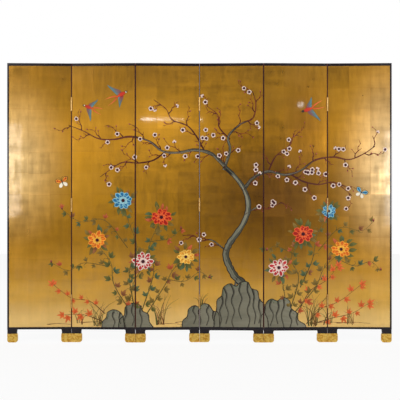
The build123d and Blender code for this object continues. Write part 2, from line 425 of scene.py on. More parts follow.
def lacquer(name, colour, rub, level, roughness):
    """Polished lacquer with faint brush marks, rubbed edges and its red undercoat bare at the seams."""
    made, tree, shader = finish_of(
        name, Coat_Weight=0.5, Coat_Roughness=0.08, Specular_IOR_Level=level, Coat_IOR=1.35
    )
    where = place_in(tree)
    x, _, z = parted(where)
    brushed = noise(stretched(where, 1.0, 1.0, 0.06), 160.0, 3.0, 0.6)
    cloud = noise(where, 7.0, 4.0, 0.6)
    base = mixed(ranged(cloud, 0.3, 0.7), colour, (*(1.7 * share for share in colour[:3]), 1.0))
    seams = x / PANEL_PITCH
    apart = abs((seams + 0.5).fraction() - 0.5) * PANEL_PITCH
    at_seam = ranged(apart, 0.0036, 0.0052, 1.0, 0.0)
    inner = ranged(abs(seams), 2.6, 2.7, 1.0, 0.0)
    above = ranged(z, BOARD_BOTTOM - 0.004, BOARD_BOTTOM + 0.002)
    undercoat = at_seam * inner * above
    base = mixed(undercoat * ranged(brushed, 0.25, 0.6, 0.35, 1.0), base, tone(66, 24, 16))
    [wear] = placed(tree, EDGE_WEAR, Width=0.0012, Amount=0.75, Breaks=45.0)
    rough = cloud * 0.16 + roughness + wear * 0.25 + undercoat * 0.35
    coat = undercoat * -0.4 + 0.5
    feed(shader, {"Base Color": mixed(wear, base, rub), "Coat Weight": coat, "Roughness": rough})
    bumped(shader, brushed, 0.00006, 0.5)
    return made


def bare_wood():
    """Planed softwood of the hidden core."""
    made, tree, shader = finish_of("Core wood", Specular_IOR_Level=0.3)
    grain = noise(stretched(place_in(tree), 2.0, 30.0, 30.0), 6.0, 6.0, 0.6, 0.6)
    colour = mixed(ranged(grain, 0.3, 0.7), tone(196, 158, 108), tone(168, 124, 76))
    feed(shader, {"Base Color": colour, "Roughness": grain * 0.2 + 0.55})
    bumped(shader, grain, 0.0002, 0.5)
    return made


def brass(name, bright, deep, mottle, dents, roughness):
    """Cast or rolled brass with a mottled skin, deeper and brighter by turns, and bright on its rubbed edges."""
    made, tree, shader = finish_of(name, Metallic=1.0)
    where = place_in(tree)
    mottled = noise(where, mottle, 4.0, 0.6, 0.8)
    fine = noise(where, 7 * mottle, 3.0, 0.6)
    colour = mixed(ranged(mottled, 0.36, 0.60), tone(*deep), tone(*bright))
    [wear] = placed(tree, EDGE_WEAR, Width=0.0015, Amount=0.6, Breaks=90.0)
    rough = mottled * -0.15 + (roughness + 0.08) + fine * 0.12
    feed(shader, {"Base Color": mixed(wear, colour, tone(250, 226, 160)), "Roughness": rough})
    bumped(shader, fine * 0.2 + mottled, dents, 0.7)
    return made


def paint(name, root, tip, rim, rim_width=0.15, reach=0.6, vein=0.0, streaks=0.35):
    """One of the painter's colours, laid over the gold leaf."""
    made, tree, shader = finish_of(name, Coat_Weight=0.08, Coat_Roughness=0.15, Specular_IOR_Level=0.18)
    tones = {"Root": tone(*root), "Tip": tone(*tip), "Rim": tone(*rim)}
    marks = {"Rim_Width": rim_width, "Reach": reach, "Vein": vein, "Streaks": streaks}
    colour, rough, height = placed(tree, BRUSHED_PAINT, **tones, **marks)
    feed(shader, {"Base Color": colour, "Roughness": rough})
    bumped(shader, height, 0.00015, 0.6)
    return made


GOLD_LEAF = gold_leaf()
BLACK_LACQUER = lacquer("Black lacquer", tone(22, 18, 22), tone(92, 40, 30), 0.18, 0.16)
BACK_LACQUER = lacquer("Back lacquer", tone(28, 23, 25), tone(70, 34, 26), 0.25, 0.34)
CORE_WOOD = bare_wood()
CAP_BRASS = brass("Cast brass", (250, 214, 112), (212, 154, 54), 60.0, 0.0008, 0.28)
SCREW_BRASS = brass("Screw brass", (196, 160, 96), (150, 110, 54), 160.0, 0.0001, 0.34)
HINGE_BRASS = brass("Rolled brass", (206, 172, 112), (176, 134, 76), 120.0, 0.0001, 0.30)

INK = (34, 29, 24)
# Each paint's name, root, tip and rim, then its rim width, reach, vein and streaks where they aren't the usual
PAINTS = {
    "bark": ("Bark grey", (112, 110, 92), (130, 127, 108), INK, 0.22, 0.9, 0.0, 0.8),
    "bark shade": ("Bark shade", (62, 64, 52), (74, 74, 62), (60, 60, 50), 0.1),
    "lichen": ("Lichen grey", (92, 98, 80), (118, 122, 100), (98, 104, 86), 0.2),
    "stone shade": ("Stone shade", (70, 68, 58), (96, 94, 80), (84, 82, 70), 0.3),
    "ink": ("Ink", INK, (46, 38, 30), INK, 0.1),
    "maroon": ("Branch maroon", (66, 16, 12), (104, 44, 24), (52, 14, 10), 0.15, 0.9),
    "twig": ("Twig brown", (70, 16, 10), (136, 62, 26), (80, 26, 14), 0.10, 0.9),
    "stem": ("Stem olive", (72, 70, 28), (104, 92, 40), (52, 48, 22), 0.15),
    "heart": ("Flower heart", (46, 4, 18), (60, 8, 26), (52, 6, 22), 0.1),
    "blossom": ("Blossom white", (140, 52, 74), (220, 200, 188), (200, 168, 158), 0.12, 0.6),
    "bud": ("Bud rose", (84, 22, 26), (170, 84, 72), (110, 40, 40), 0.12, 0.9),
    "blue": ("Petal blue", (8, 58, 96), (22, 100, 148), (128, 184, 198), 0.36),
    "red": ("Petal red", (112, 8, 8), (164, 20, 12), (228, 92, 42), 0.34),
    "orange": ("Petal orange", (188, 66, 10), (212, 96, 16), (236, 158, 50), 0.36),
    "rose": ("Petal rose", (132, 8, 24), (180, 38, 46), (226, 206, 192), 0.36),
    "yellow": ("Petal yellow", (190, 98, 14), (216, 140, 30), (240, 196, 92), 0.36),
    "blue pale": ("Petal pale blue", (34, 104, 140), (140, 190, 200), (172, 204, 204), 0.2, 0.7),
    "red pale": ("Petal pale red", (150, 18, 10), (218, 84, 38), (236, 128, 66), 0.2, 0.8),
    "orange pale": ("Petal pale orange", (200, 84, 14), (230, 168, 50), (242, 196, 84), 0.2, 0.7),
    "rose pale": ("Petal pale rose", (176, 40, 52), (226, 200, 188), (234, 216, 204), 0.2, 0.7),
    "yellow pale": ("Petal pale yellow", (210, 132, 28), (240, 198, 92), (248, 216, 132), 0.2, 0.7),
    "green": ("Leaf green", (72, 74, 32), (106, 102, 46), (74, 74, 34), 0.12, 0.8, 0.6),
    "teal": ("Leaf teal", (60, 78, 52), (94, 106, 66), (62, 76, 50), 0.12, 0.8, 0.6),
    "olive": ("Leaf olive", (100, 80, 30), (134, 108, 46), (92, 74, 30), 0.12, 0.8, 0.6),
    "brown": ("Leaf brown", (108, 60, 30), (150, 96, 52), (98, 56, 28), 0.12, 0.8, 0.5),
    "rust": ("Leaf rust", (154, 62, 30), (194, 100, 54), (138, 58, 30), 0.12, 0.8, 0.5),
    "coral": ("Leaf coral", (200, 80, 30), (224, 116, 54), (172, 66, 28), 0.12, 0.8, 0.5),
    "stone": ("Stone grey", (108, 106, 90), (124, 121, 103), (108, 106, 90), 0.0, 0.9, 0.0, 0.5),
    "wing": ("Wing teal", (156, 30, 18), (86, 128, 132), (64, 98, 104), 0.10, 0.9),
    "breast": ("Breast red", (212, 72, 30), (190, 46, 24), (130, 30, 18), 0.10),
    "cream": ("Cream", (226, 212, 184), (236, 226, 202), (170, 150, 120), 0.12),
}
PAINTS = {colour: paint(*settings) for colour, settings in PAINTS.items()}


def dress(node, finish):
    """Give a CAD node its finish."""
    mesh = nodes[node].data
    mesh.materials.clear()
    mesh.materials.append(finish)


for panel in PANELS:
    for finish, pieces in (
        (BLACK_LACQUER, ("left_stile", "right_stile", "bottom_rail", "top_rail")),
        (CORE_WOOD, ("core_battens",)),
        (GOLD_LEAF, ("front_board",)),
        (BACK_LACQUER, ("back_board",)),
        (CAP_BRASS, ("foot_caps",)),
        (HINGE_BRASS, ("hinge_leaves",)),
    ):
        for piece in pieces:
            dress(f"panel_{panel}_{piece}", finish)
for joint in JOINTS:
    dress(f"joint_{joint}_hinge_pins", HINGE_BRASS)


# ---------------------------------------------------------------- metalwork

SMOOTH_UNDER = radians(40.0)
# Sides and points of the round shapes, from the turned barrels to the rounded edges of the caps
KNUCKLE_SIDES = 32
PIN_SIDES = 24
HOLE_SIDES = 24
BOW_POINTS = 11
ARC_POINTS = 13
RIM_STEPS = 6
ROUND_STEPS = 4


def put(name, data):
    """A new object in the scene."""
    made = bpy.data.objects.new(name, data)
    bpy.context.scene.collection.objects.link(made)
    return made


def piece_of(name, sheet, finish, body, placing):
    """Make a mesh piece of a sheet, put it where its panel stands, and let it ride there."""
    bmesh.ops.recalc_face_normals(sheet, faces=sheet.faces)
    bmesh.ops.transform(sheet, matrix=placing, verts=sheet.verts)
    mesh = bpy.data.meshes.new(name)
    sheet.to_mesh(mesh)
    sheet.free()
    mesh.shade_smooth()
    mesh.set_sharp_from_angle(angle=SMOOTH_UNDER)
    mesh.materials.append(finish)
    piece = put(name, mesh)
    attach(piece, body)
    return piece


def turned(sheet, profile, middle, sides, hollow=False):
    """Carry the (radius, height) points of a profile round an upright axis."""
    rings = []
    for radius, height in profile:
        around = [2 * pi * i / sides for i in range(sides if radius else 1)]
        spots = [middle + Vector((radius * cos(a), radius * sin(a), height)) for a in around]
        rings.append([sheet.verts.new(spot) for spot in spots])
    if hollow:
        rings.append(rings[0])
    for low, high in zip(rings, rings[1:]):
        for i in range(sides):
            corners = ((low, i), (low, i + 1), (high, i + 1), (high, i))
            sheet.faces.new(dict.fromkeys(ring[spot % len(ring)] for ring, spot in corners))


def round_about(y, z, radius, start, end, count):
    """Points on a circle in y and z."""
    angles = [start + (end - start) * i / (count - 1) for i in range(count)]
    return [(y + radius * cos(angle), z + radius * sin(angle)) for angle in angles]


def pierced_plate(sheet, corners, holes, low, high):
    """A plate between two levels of x, with a round hole about each of the given points."""
    edges = []
    for loop in [corners] + [round_about(y, z, SCREW_HOLE, 0, 2 * pi, HOLE_SIDES + 1)[:-1] for y, z in holes]:
        spots = [sheet.verts.new((low, y, z)) for y, z in loop]
        edges += [sheet.edges.new((spots[i - 1], spots[i])) for i in range(len(spots))]
    filled = bmesh.ops.triangle_fill(sheet, use_beauty=True, edges=edges)["geom"]
    faces = [part for part in filled if isinstance(part, bmesh.types.BMFace)]
    raised = bmesh.ops.extrude_face_region(sheet, geom=faces, use_keep_orig=True)["geom"]
    spots = [part for part in raised if isinstance(part, bmesh.types.BMVert)]
    bmesh.ops.translate(sheet, verts=spots, vec=(high - low, 0, 0))


def screw_head(sheet, y, z, turn, low, high):
    """A countersunk head, flush in its plate: two bows with the floor of the slot between them."""
    lip = asin(SCREW_SLOT / SCREW_HEAD)
    floor = (low + high) / 2
    below, corners = [], []
    for half_turn in (turn, turn + pi):
        bow = round_about(y, z, SCREW_HEAD, half_turn + lip, half_turn + pi - lip, BOW_POINTS)
        under, over = ([sheet.verts.new((x, *spot)) for spot in bow] for x in (low, high))
        start, end = (sheet.verts.new((floor, *spot)) for spot in (bow[0], bow[-1]))
        sheet.faces.new(over)
        sheet.faces.new((over[0], over[-1], end, start))
        for i in range(2, len(bow) - 1):
            sheet.faces.new((under[i - 1], under[i], over[i], over[i - 1]))
        for middle, tip, inside in ((start, 0, 1), (end, -1, -2)):
            sheet.faces.new((under[tip], under[inside], middle))
            sheet.faces.new((middle, under[inside], over[inside], over[tip]))
        below.append(under)
        corners += [start, end]
    sheet.faces.new(below[0] + below[1])
    sheet.faces.new(corners)
    sheet.faces.new((below[0][-1], below[1][0], corners[2], corners[1]))
    sheet.faces.new((below[1][-1], below[0][0], corners[0], corners[3]))


def hinge_pieces(panel):
    """The leaves of a panel with their rolled knuckles, and the screws that hold them."""
    leaves, screws = bmesh.new(), bmesh.new()
    for side in (LEFT, RIGHT):
        joint = panel if side == RIGHT else panel - 1
        if joint not in JOINTS:
            continue
        face = barrel_face(joint)
        edge = side * HALF_WIDTH
        inner = edge - side * LEAF_THICKNESS
        near, far = face * HALF_THICKNESS, face * (HALF_THICKNESS - LEAF_WIDTH)
        for foot, height, top in barrels():
            holes = [(face * (HALF_THICKNESS - inset), height + rise) for inset, rise in SCREW_PLACES]
            for y, z in holes:
                screw_head(screws, y, z, chance.uniform(0, pi), inner, edge - side * SCREW_SINK)
            comb = [(far, top), (far, foot), (near, foot)]
            for knuckle in range(0 if side == RIGHT else 1, KNUCKLE_COUNT, 2):
                low = foot + knuckle * KNUCKLE_PITCH + (KNUCKLE_PLAY / 2 if knuckle else 0)
                high = foot + (knuckle + 1) * KNUCKLE_PITCH - KNUCKLE_PLAY / 2
                high = top if knuckle == KNUCKLE_COUNT - 1 else high
                wall = face * (PIN_Y - KNUCKLE_BITE)
                comb += [(near, low), (wall, low), (wall, high), (near, high)]
                shoulder = KNUCKLE_RADIUS - KNUCKLE_ROUND
                profile = [(PIN_BORE, low), (shoulder, low), (KNUCKLE_RADIUS, low + KNUCKLE_ROUND)]
                profile += [(KNUCKLE_RADIUS, high - KNUCKLE_ROUND), (shoulder, high), (PIN_BORE, high)]
                axis = Vector((side * PIN_X, face * PIN_Y, 0))
                turned(leaves, profile, axis, KNUCKLE_SIDES, hollow=True)
            pierced_plate(leaves, list(dict.fromkeys(comb + [(near, top)])), holes, inner, edge)
    body = f"panel_{panel}"
    leaf_piece = piece_of(f"panel_{panel}_butt_hinges", leaves, HINGE_BRASS, body, standing(panel))
    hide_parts(f"panel_{panel}_hinge_leaves")
    piece_of(f"panel_{panel}_hinge_screws", screws, SCREW_BRASS, body, standing(panel))


def hinge_pins(joint):
    """The pins of a joint, slightly domed at the ends of their barrels."""
    pins = bmesh.new()
    for foot, _, top in barrels():
        profile = [(r, foot + z) for r, z in PIN_DOME] + [(r, top - z) for r, z in reversed(PIN_DOME)]
        turned(pins, profile, Vector((PIN_X, barrel_face(joint) * PIN_Y, 0)), PIN_SIDES)
    piece = piece_of(f"joint_{joint}_pins", pins, HINGE_BRASS, f"panel_{joint}", standing(joint))
    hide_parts(f"joint_{joint}_hinge_pins")


def drawn_in(line, distance):
    """The line moved to its right by one distance, with its ends kept at their level."""
    squares = [Vector((end.y - start.y, start.x - end.x)).normalized() for start, end in zip(line, line[1:])]
    moved = [line[0] + Vector((distance / squares[0].x, 0))]
    for point, before, after in zip(line[1:], squares, squares[1:]):
        moved.append(point + (before + after) * distance / (1 + before.dot(after)))
    return moved + [line[-1] + Vector((distance / squares[-1].x, 0))]


def foot_caps(panel):
    """The two cast caps of a panel: hollow shoes with softened edges, round at their outer corners."""
    shoes = bmesh.new()
    depth = HALF_THICKNESS + CAP_FIT + CAP_WALL
    turns = [pi / 2 * i / ROUND_STEPS for i in range(ROUND_STEPS + 1)]
    rim = [i / RIM_STEPS for i in range(RIM_STEPS + 1)]
    for side in (LEFT, RIGHT):
        outline = [
            (CAP_FAR - CAP_RIM_LEAN * (1 - t) ** CAP_RIM_SWEEP, CAP_HEIGHT - CAP_RIM_HEIGHT * t) for t in rim
        ]
        outline += round_about(CAP_FAR - CAP_CORNER, CAP_CORNER, CAP_CORNER, 0, -pi / 2, ARC_POINTS)
        if at_end(panel, side):
            outline += round_about(CAP_NEAR + CAP_CORNER, CAP_CORNER, CAP_CORNER, -pi / 2, -pi, ARC_POINTS)
        else:
            outline.append((CAP_NEAR, 0))
        outline.append((CAP_NEAR, CAP_HEIGHT))
        outline = [Vector(point) for point in outline]
        rows = []
        for face, turn in [(FRONT, turn) for turn in turns] + [(BACK, turn) for turn in reversed(turns)]:
            y = face * (depth - CAP_ROUND * (1 - cos(turn)))
            line = drawn_in(outline, CAP_ROUND * (1 - sin(turn)))
            rows.append([shoes.verts.new((side * (HALF_WIDTH - inset), y, z)) for inset, z in line])
        shoes.faces.new(rows[0])
        shoes.faces.new(rows[-1])
        for front, behind in zip(rows, rows[1:]):
            for i in range(1, len(outline)):
                shoes.faces.new((front[i - 1], front[i], behind[i], behind[i - 1]))
    piece = piece_of(f"panel_{panel}_foot_shoes", shoes, CAP_BRASS, f"panel_{panel}", standing(panel))
    wall = piece.modifiers.new("Cast wall", "SOLIDIFY")
    wall.thickness, wall.offset = CAP_WALL, -1
    piece.modifiers.new("Flat faces", "WEIGHTED_NORMAL").keep_sharp = True
    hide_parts(f"panel_{panel}_foot_caps")


for panel in PANELS:
    hinge_pieces(panel)
    foot_caps(panel)
for joint in JOINTS:
    hinge_pins(joint)


# ---------------------------------------------------------------- painting

# Heights of the paint above the gold, from the ground washes to the hearts of the flowers
WASH = 0.00010
STEM = 0.00019
TRUNK = 0.00028
SCAR = 0.00031
STONE = 0.00040
LINE = 0.00042
LEAF = 0.00051
PETAL = 0.00060
RING = 0.00009
HEART = 0.00098
# Each touch at a height lies a step above the one before it, and after so many they start again
STEP = 0.000002
STEPS = 40
# The depth of the film of paint, whose back is sunk in the board, and the level that the stones go down to
FILM = 0.00125
FOOT = BOARD_BOTTOM - 0.005
# The margin round each half of a painting on its sheet for baking
SHEET_MARGIN = 0.002
# The share of its width that a peony, seen aslant, has the other way, and that a blade keeps at its ends
PEONY_DEPTH = 0.88
BLUNT = 0.06

between, any_of = chance.uniform, chance.choice
picture = bmesh.new()
stroke_layer = picture.loops.layers.uv.new("stroke")
mark_layer = picture.loops.layers.uv.new("mark")
touches = {}


def at(x, z):
    return Vector((x, z))


def metres(points):
    """The points of a design, drawn in millimetres of the screen's x and z."""
    return [at(x / 1000, z / 1000) for x, z in points]


def pointing(angle, length=1.0):
    return at(cos(angle), sin(angle)) * length


def heading_to(here, there):
    return atan2(there.y - here.y, there.x - here.x)


def flowing(points, steps=6):
    """A smooth line through the points."""
    ends = [2 * points[0] - points[1], *points, 2 * points[-1] - points[-2]]
    line = []
    for before, start, end, after in zip(ends, ends[1:], ends[2:], ends[3:]):
        for i in range(steps):
            t = i / steps
            bow = (2 * before - 5 * start + 4 * end - after) * t * t
            swing = (3 * start - before - 3 * end + after) * t ** 3
            line.append((2 * start + (end - before) * t + bow + swing) / 2)
    return line + [points[-1]]


def headings(line):
    """The directions of the line at its points."""
    last = len(line) - 1
    return [(line[min(i + 1, last)] - line[max(i - 1, 0)]).normalized() for i in range(last + 1)]


def beside(line, start, end):
    """The line moved to its left, by one distance at its start that passes into another at its end."""
    last = len(line) - 1
    shifts = [start + (end - start) * i / last for i in range(last + 1)]
    return [point + at(-ahead.y, ahead.x) * shift for point, ahead, shift in zip(line, headings(line), shifts)]


def stations(line, every, first, side):
    """Even stops along a line, the first after a share of a step, turn by turn on its sides."""
    walked = every * first
    for here, there in zip(line, line[1:]):
        walked += (there - here).length
        if walked >= every:
            walked, side = 0.0, -side
            yield there, heading_to(here, there), side


def compass(middle, heading, size):
    """A function for points ahead of a middle and to the left of it, in shares of a size."""
    ahead, left = pointing(heading, size), pointing(heading + pi / 2, size)
    return lambda forward, aside=0.0: middle + ahead * forward + left * aside


def lay(rows, colour, height):
    """A flat touch of paint over rows of points, which follow each other along the stroke."""
    touches[height] = touches.get(height, 0) + 1
    raised = height + STEP * (touches[height] % STEPS)
    last, far = len(rows) - 1, len(rows[0]) - 1
    slot = list(PAINTS).index(colour)
    mark = (chance.random(), chance.random())
    grid = [[picture.verts.new((point.x, -raised, point.y)) for point in row] for row in rows]
    for i in range(last):
        for j in range(far):
            corners = ((i, j), (i + 1, j), (i + 1, j + 1), (i, j + 1))
            face = picture.faces.new([grid[a][b] for a, b in corners])
            face.material_index = slot
            for loop, (a, b) in zip(face.loops, corners):
                loop[stroke_layer].uv = (a / last, b / far)
                loop[mark_layer].uv = mark
            face.normal_update()
            if face.normal.y > 0:
                face.normal_flip()


def ribbon(line, start, end, colour, height, wander=0.0):
    """A brush line that thins or swells from its start width to its end width."""
    rows = []
    for i, (point, ahead) in enumerate(zip(line, headings(line))):
        t = i / (len(line) - 1)
        half = (start + (end - start) * t) / 2 * (1 + wander * between(-1, 1))
        edge = at(-ahead.y, ahead.x) * half
        rows.append([point - edge, point, point + edge])
    lay(rows, colour, height)


def blade(root, tip, width, colour, height, bulge=0.45, fullness=1.0, bend=0.0, steps=6):
    """A leaf, petal or feather: widest at the bulge, pointed or full at its ends."""
    run = tip - root
    side = at(-run.y, run.x)
    warp = log(0.5) / log(bulge)
    rows = []
    for i in range(steps + 1):
        t = i / steps
        edge = side.normalized() * max(BLUNT, sin(pi * t ** warp) ** fullness) * width / 2
        middle = root + run * t + side * bend * sin(pi * t)
        rows.append([middle - edge, middle, middle + edge])
    lay(rows, colour, height)


def dot(middle, radius, colour, height, sides=8):
    """A round touch, as rows across it."""
    rows = []
    for i in range(sides // 2 + 1):
        angle = pi * (i + 0.15) / (sides // 2 + 0.3)
        row_middle, reach = middle - at(0, radius * cos(angle)), at(radius * sin(angle), 0)
        rows.append([row_middle - reach, row_middle, row_middle + reach])
    lay(rows, colour, height)


def peony(middle, radius, colour, lean):
    """Pointed petals, deep inside and pale at their rims, a paler ring within them and a dark heart."""
    tilt = pointing(lean)

    def seen(angle, reach):
        flat = pointing(angle, reach)
        flat.y *= PEONY_DEPTH
        return middle + at(flat.x * tilt.x - flat.y * tilt.y, flat.x * tilt.y + flat.y * tilt.x)

    rings = ((1.0, 0.20, 9, 0.98, colour), (0.74, 0.12, 8, 0.80, colour), (0.46, 0.02, 6, 1.0, f"{colour} pale"))
    for ring, (reach, foot, count, share, petals) in enumerate(rings):
        turn = chance.random()
        width = 2 * pi * radius * reach * 0.72 / count * share
        for petal in range(count):
            angle = 2 * pi * (petal + turn) / count + between(-0.15, 0.15)
            tip = seen(angle, radius * reach * between(0.84, 1.10))
            root, bend = seen(angle, foot * radius), between(-0.08, 0.08)
            blade(root, tip, width, petals, PETAL + ring * RING, 0.60, 0.62, bend)
    dot(middle, radius * 0.17, "heart", HEART, 10)


def blossom(middle, size, facing, opened):
    """A blossom seen from its face, or as a cup from its side."""
    if opened:
        turn = chance.random()
        for petal in range(5):
            angle = 2 * pi * (petal + turn) / 5 + between(-0.1, 0.1)
            tip = middle + pointing(angle, size / 2 * between(0.94, 1.08))
            blade(middle, tip, size * 0.46, "blossom", PETAL + RING, 0.66, 0.5)
        dot(middle, size * 0.28, "heart", HEART, 10)
        return
    for spread in (-0.75, 0.75, 0.0):
        tip = middle + pointing(facing + spread, size * (0.5 if spread else 0.62))
        blade(middle, tip, size * 0.38, "blossom", PETAL + RING, 0.60, 0.6, 0.1 * spread, 5)
    spot = compass(middle, facing, size)
    blade(spot(-0.1), spot(0.2), size * 0.3, "heart", HEART, steps=4)


def bud(middle, size, facing):
    """A closed bud with its dark calyx."""
    spot = compass(middle, facing, size)
    blade(middle, spot(1.0), size * 0.6, "bud", PETAL, 0.45, 0.8, steps=4)
    blade(middle, spot(0.4), size * 0.45, "maroon", HEART, 0.4, 1.0, steps=3)


def leaf(root, facing, length, colour):
    blade(root, root + pointing(facing, length), length * 0.46, colour, LEAF, 0.42, 0.9, between(-0.12, 0.12))


def trefoil(root, facing, length, colour):
    """Three leaflets on a short stalk."""
    fork = root + pointing(facing, length * 0.35)
    ribbon([root, fork], 0.0028, 0.0022, "stem", STEM)
    for spread, share in ((-0.75, 0.8), (0.75, 0.8), (0.0, 1.0)):
        leaf(fork, facing + spread + between(-0.15, 0.15), length * share * between(0.85, 1.1), colour)


def tendril(root, facing, size):
    """A thin shoot that curls up at its end."""
    turn = any_of((-1, 1))
    line = [root]
    for i in range(11):
        line.append(line[-1] + pointing(facing, size * (0.20 - 0.012 * i)))
        facing += turn * (0.12 + 0.06 * i)
    ribbon(line, 0.0032, 0.0014, "stem", STEM)


def leafy_stem(points, colours, leaf_length, start=0.0065, end=0.003, every=0.032):
    """A stem with leaflets turn by turn at its sides, and a curl here and there."""
    line = flowing(metres(points))
    ribbon(line, start, end, "stem", STEM)
    for count, (spot, ahead, side) in enumerate(stations(line, every, 0.6, 1), 1):
        facing = ahead + side * between(0.6, 1.15)
        trefoil(spot, facing, leaf_length * between(0.75, 1.15), any_of(colours))
        if count % 3 == 0:
            tendril(spot, ahead - side * 0.5, leaf_length * 0.9)


def barked(line, start, end):
    """A grey limb with a shaded side, dark cracks along it and lichen."""
    ribbon(line, start, end, "bark", TRUNK, 0.13)
    ribbon(beside(line, -0.24 * start, -0.24 * end), 0.30 * start, 0.30 * end, "bark shade", SCAR, 0.3)
    last = len(line) - 1
    for crack in range(max(2, last // 3)):
        i = chance.randrange(1, last - 2)
        run = line[i : min(i + chance.randrange(4, 9), last)]
        width = start + (end - start) * i / last
        shift = between(-0.3, 0.34) * width
        if len(run) > 2:
            colour = any_of(("ink", "ink", "lichen"))
            ribbon(beside(run, shift, shift * 0.5), 0.0032, 0.0012, colour, SCAR, 0.3)


def limb(points, start, end, grey, every, reach, blossoms):
    """A branch, grey for its first share and dark red beyond it, with twigs turn by turn."""
    line = flowing(metres(points), 7)
    for spot, ahead, side in stations(line, every, 0.5, any_of((-1, 1))):
        twig(spot, ahead + side * between(0.45, 1.05), reach * between(0.6, 1.15), blossoms)
    ribbon(line, 0.75 * start + 0.0035, end + 0.0012, "maroon", TRUNK, 0.2)
    ribbon(beside(line, 0.0010, 0.0006), 0.0024, 0.0010, "twig", SCAR, 0.3)
    if grey:
        barked(line[: max(4, int(grey * len(line)))], start, 0.006)


def twig(root, facing, length, blossoms):
    """A crooked twig that thins out, with spurs, blossoms and buds at its knees."""
    points = [root]
    swing = any_of((-1, 1))
    for knee in range(4):
        swing = -swing
        points.append(points[-1] + pointing(facing + swing * between(0.10, 0.42), length / 4))
    ribbon(flowing(points, 2), 0.0074, 0.0024, "twig", STEM, 0.15)
    for spot in points[1:]:
        out = facing + any_of((-1, 1)) * between(0.4, 1.1)
        end = spot + pointing(out, between(0.010, 0.032))
        ribbon([spot, end], 0.0044, 0.0020, "twig", STEM)
        rolled = chance.random()
        if rolled < blossoms:
            blossom(end, between(0.029, 0.035), out, rolled < 0.82 * blossoms)
        elif rolled < blossoms + 0.36:
            bud(end, between(0.011, 0.017), out)


def crag(outline, folds):
    """A grey stone down to the lower border, from its outline, with long dark folds from its crest."""
    crest = flowing(metres(outline), 5)
    rows = []
    for point in crest:
        base = at(point.x, FOOT)
        rows.append([base + (point - base) * share for share in (0, 0.33, 0.66, 1)])
    lay(rows, "stone", STONE)
    mossy = crest[len(crest) // 4 : 2 * len(crest) // 3]
    ribbon(beside(mossy, -0.008, -0.008), 0.012, 0.006, "lichen", LINE, 0.5)
    folds = [flowing(metres(fold), 5) for fold in folds]
    for fold in folds:
        ribbon(beside(fold, 0.005, 0.003), 0.012, 0.006, "stone shade", LINE, 0.3)
    for fold in folds:
        ribbon(fold, 0.0060, 0.0030, "ink", LINE, 0.25)
    ribbon(crest, 0.0058, 0.0058, "ink", LINE, 0.25)
    for moss in range(len(outline)):
        spot = any_of(crest[3:-3]) + at(between(-0.01, 0.01), between(-0.02, -0.004))
        dot(spot, between(0.002, 0.0042), any_of(("teal", "green")), LEAF, 6)


def swallow(middle, heading, span, banking):
    """A swallow with swept wings, red at the shoulders, and a forked tail."""
    spot = compass(middle, heading, span)
    for side in (-1, 1):
        blade(spot(-0.08), spot(-0.60, 0.13 * side), span * 0.055, "coral", LEAF, 0.3, 0.9, -0.06 * side)
    for side, length in ((1, 1.0), (-1, banking)):
        for feather in range(7):
            share = feather / 6
            root = spot(0.10, 0.12 * (1 - share) * length * side)
            tip = spot(0.10 * share - 0.24, (0.56 - 0.38 * share) * length * side)
            blade(root, tip, span * 0.105, "wing", PETAL, 0.42, 0.75, 0.10 * side)
    blade(spot(-0.16), spot(0.24), span * 0.15, "breast", PETAL + RING, 0.62, 0.7)
    dot(spot(0.25), span * 0.050, "ink", HEART)
    dot(spot(0.25, -0.008), span * 0.030, "cream", HEART)
    blade(spot(0.25), spot(0.35), span * 0.026, "ink", HEART, 0.3, 1.0, steps=3)


def butterfly(middle, heading, size, colour):
    """A butterfly with its wings spread: pale behind, and dark with a coloured field in front."""
    spot = compass(middle, heading, size)
    for side in (-1, 1):
        blade(middle, spot(-0.36, 0.30 * side), size * 0.30, "cream", PETAL, 0.62, 0.55)
        blade(middle, spot(0.30, 0.50 * side), size * 0.34, "ink", PETAL + RING, 0.66, 0.6)
        blade(middle, spot(0.276, 0.46 * side), size * 0.28, colour, PETAL + RING, 0.66, 0.6)
        dot(spot(0.21, 0.35 * side), size * 0.045, "ink", HEART, 6)
        feeler = [spot(0.2), spot(0.4, 0.12 * side), spot(0.4, 0.20 * side)]
        ribbon(flowing(feeler, 2), 0.0022, 0.0016, "ink", LINE)
    blade(spot(-0.28), spot(0.24), size * 0.08, "ink", HEART, 0.6, 0.8)


def maple_leaf(root, facing, size):
    """Five pointed lobes on a thin stalk."""
    heart = root + pointing(facing, size * 0.35)
    ribbon([root, heart], 0.0022, 0.0018, "twig", STEM)
    for lobe, share in ((-1.75, 0.45), (-0.85, 0.72), (0.0, 0.9), (0.85, 0.72), (1.75, 0.45)):
        spot = compass(heart, facing + lobe, size)
        blade(spot(-0.06), spot(share), size * 0.30, "coral", LEAF, 0.45, 0.9, steps=4)


def maple_sprig(points):
    """A thin twig with maple leaves turn by turn at its sides and one at its end."""
    line = flowing(metres(points), 5)
    ribbon(line, 0.0052, 0.0020, "twig", STEM, 0.1)
    side = 1
    for here, there in zip(line[2::2], line[3::2]):
        side, ahead = -side, heading_to(here, there)
        maple_leaf(there, ahead + side * between(0.7, 1.2), between(0.032, 0.048))
    maple_leaf(line[-1], ahead, 0.046)


def grass_tuft(middle, count, tall):
    """Bent stalks that lean either way from near one spot."""
    for stalk in range(count):
        lean = between(-0.75, 0.75)
        root = middle + at(between(-0.03, 0.03), between(-0.008, 0.008))
        length = tall * between(0.5, 1.0)
        knee = root + pointing(pi / 2 - lean * 0.5, length * 0.55)
        tip = knee + pointing(pi / 2 - lean * 1.7, length * 0.45)
        colour = any_of(("olive", "green", "stem", "brown"))
        ribbon(flowing([root, knee, tip], 5), 0.0052, 0.0010, colour, STEM)


